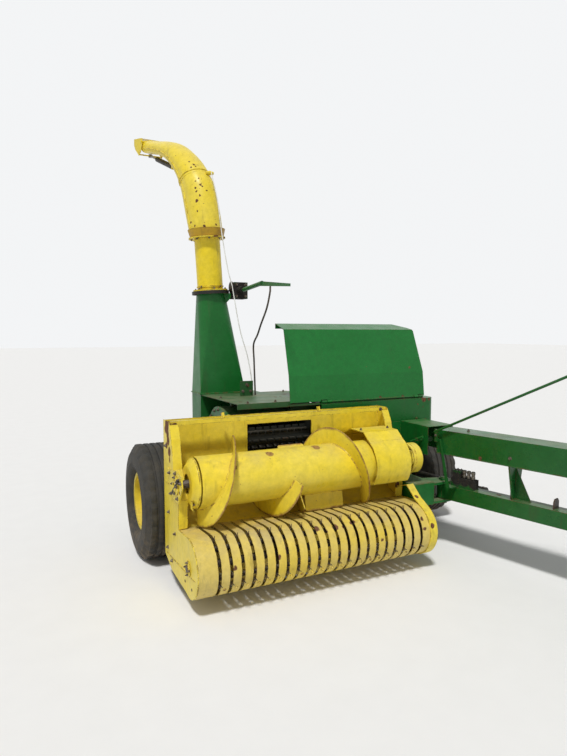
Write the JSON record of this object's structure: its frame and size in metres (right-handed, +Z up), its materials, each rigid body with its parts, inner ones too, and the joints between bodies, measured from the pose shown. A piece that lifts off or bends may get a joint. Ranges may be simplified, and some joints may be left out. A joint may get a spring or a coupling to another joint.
{
  "type": "trailed forage harvester",
  "caption": "Trailed forage harvester with a windrow pickup head, cross auger, cutter and blower housings, turning discharge spout, swinging tongue with a shielded driveline and two wheels.",
  "frame": {"origin": "centre of the footprint on the ground", "axes": "+Z up, -Y the way it travels, +X the machine's left side"},
  "size_m": [2.8738, 4.8741, 3.4358],
  "materials": {
    "green_paint": "faded and dusty gloss",
    "dark_green_paint": "dull, dirty",
    "yellow_paint": "faded, with rust at the edges",
    "black_paint": "semi-matt",
    "bare_steel": "worn and rusty",
    "rod_steel": "polished",
    "tyre_rubber": "dusty",
    "hose_rubber": "matt",
    "white_cable": "matt"
  },
  "bodies": {
    "chassis": {"axle": "green_paint", "front_frame": "green_paint", "rear_frame": "green_paint", "cutter_housing": "green_paint", "cutter_drum": "bare_steel", "feed_housing": "green_paint", "blower_housing": "green_paint", "blower_rotor": "bare_steel", "tower": "green_paint", "deck": "dark_green_paint", "gearbox": "dark_green_paint", "driveline_cover": "green_paint", "apron": "green_paint", "hood_stays": "dark_green_paint", "rotator": "black_paint", "rotator_hose": "hose_rubber", "spout_cable": "white_cable"},
    "wheel_right": {"tyre_right": "tyre_rubber", "rim_right": "yellow_paint"},
    "wheel_left": {"tyre_left": "tyre_rubber", "rim_left": "yellow_paint"},
    "upper_feed_roll": {"feed_roll_upper": "bare_steel"},
    "lower_feed_roll": {"feed_roll_lower": "bare_steel"},
    "hood_lid": {"hood": "green_paint"},
    "head": {"head_frame": "yellow_paint", "stripper_bands": "yellow_paint", "auger_end_cone": "yellow_paint", "auger_end_shield": "yellow_paint"},
    "cross_auger": {"auger": "yellow_paint"},
    "pickup_reel": {"tine_reel": "bare_steel"},
    "lift_cylinder": {"lift_barrel": "black_paint"},
    "lift_cylinder_rod": {"lift_rod": "rod_steel"},
    "spout": {"spout_neck": "yellow_paint", "spout_duct": "yellow_paint"},
    "cap": {"spout_cap": "yellow_paint"},
    "cap_cylinder": {"cap_actuator": "black_paint"},
    "cap_cylinder_rod": {"cap_rod": "rod_steel"},
    "drawbar": {"tongue": "green_paint", "driveline_shield": "green_paint", "jack": "black_paint", "control_rod": "green_paint", "hose_valve": "black_paint"},
    "driveline_shaft": {"driveline": "bare_steel"},
    "swing_cylinder": {"swing_barrel": "black_paint"},
    "swing_cylinder_rod": {"swing_rod": "rod_steel"}
  },
  "joints": [
    {"name": "right_wheel", "type": "hinge", "parent": "chassis", "child": "wheel_right", "pos_m": [-1.28191, 0.83214, 0.41], "axis": [1, 0, 0], "continuous": true},
    {"name": "left_wheel", "type": "hinge", "parent": "chassis", "child": "wheel_left", "pos_m": [1.09309, 0.83214, 0.41], "axis": [1, 0, 0], "continuous": true},
    {"name": "upper_roll", "type": "hinge", "parent": "chassis", "child": "upper_feed_roll", "pos_m": [-0.48191, 0.48614, 0.862], "axis": [1, 0, 0], "continuous": true},
    {"name": "lower_roll", "type": "hinge", "parent": "chassis", "child": "lower_feed_roll", "pos_m": [-0.48191, 0.48614, 0.672], "axis": [1, 0, 0], "continuous": true},
    {"name": "hood_hinge", "type": "hinge", "parent": "chassis", "child": "hood_lid", "pos_m": [-0.48191, 0.44714, 1.105], "axis": [1, 0, 0], "range_deg": [0, 45]},
    {"name": "head_lift", "type": "hinge", "parent": "chassis", "child": "head", "pos_m": [-0.48191, 0.53214, 1], "axis": [-1, 0, 0], "range_deg": [0, 18]},
    {"name": "auger_turn", "type": "hinge", "parent": "head", "child": "cross_auger", "pos_m": [-0.48191, 0.06714, 0.705], "axis": [1, 0, 0], "continuous": true},
    {"name": "reel_turn", "type": "hinge", "parent": "head", "child": "pickup_reel", "pos_m": [-0.48191, -0.15786, 0.27], "axis": [1, 0, 0], "continuous": true},
    {"name": "lift_cylinder_pin", "type": "hinge", "parent": "chassis", "child": "lift_cylinder", "pos_m": [-0.06191, 0.81214, 0.59], "axis": [-1, 0, 0], "range_deg": [0, 7.5]},
    {"name": "lift_cylinder_stroke", "type": "slide", "parent": "lift_cylinder", "child": "lift_cylinder_rod", "axis": [0, -0.9973, -0.0739], "range_m": [0, 0.132]},
    {"name": "spout_turn", "type": "hinge", "parent": "chassis", "child": "spout", "pos_m": [-0.68274, 1.31214, 1.96897], "axis": [-0.0593, 0, 0.9982], "range_deg": [-110, 110], "deforming": ["spout_cable"]},
    {"name": "cap_hinge", "type": "hinge", "parent": "spout", "child": "cap", "pos_m": [-0.94537, 2.15399, 3.3723], "axis": [-0.9764, -0.2079, -0.058], "range_deg": [0, 36]},
    {"name": "cap_cylinder_pin", "type": "hinge", "parent": "spout", "child": "cap_cylinder", "pos_m": [-0.84576, 1.77187, 3.06524], "axis": [-0.9764, -0.2079, -0.058], "range_deg": [-1, 0]},
    {"name": "cap_cylinder_stroke", "type": "slide", "parent": "cap_cylinder", "child": "cap_cylinder_rod", "axis": [-0.2131, 0.8859, 0.412], "range_m": [-0.075, 0]},
    {"name": "tongue_swing", "type": "hinge", "parent": "chassis", "child": "drawbar", "pos_m": [0.72509, 0.03214, 0.44], "axis": [0, 0, 1], "range_deg": [-24, 4]},
    {"name": "driveline_turn", "type": "hinge", "parent": "drawbar", "child": "driveline_shaft", "pos_m": [0.72509, 0.03214, 0.8], "axis": [-0.2521, 0.9677, 0], "continuous": true},
    {"name": "swing_cylinder_pin", "type": "hinge", "parent": "chassis", "child": "swing_cylinder", "pos_m": [0.84809, 0.53214, 0.44], "axis": [0, 0, 1], "range_deg": [-12.5, 2.2]},
    {"name": "swing_cylinder_stroke", "type": "slide", "parent": "swing_cylinder", "child": "swing_cylinder_rod", "axis": [0.1668, -0.986, 0], "range_m": [-0.0118, 0.0682]}
  ],
  "couplings": [
    {"joint": "lift_cylinder_pin", "follows": "head_lift", "ratio": 0.41124},
    {"joint": "lift_cylinder_stroke", "follows": "head_lift", "m_per_rad": 0.41565},
    {"joint": "cap_cylinder_pin", "follows": "cap_hinge", "ratio": -0.01383},
    {"joint": "cap_cylinder_stroke", "follows": "cap_hinge", "m_per_rad": -0.11876},
    {"joint": "swing_cylinder_pin", "follows": "tongue_swing", "ratio": 0.5151},
    {"joint": "swing_cylinder_stroke", "follows": "tongue_swing", "m_per_rad": -0.16138}
  ]
}
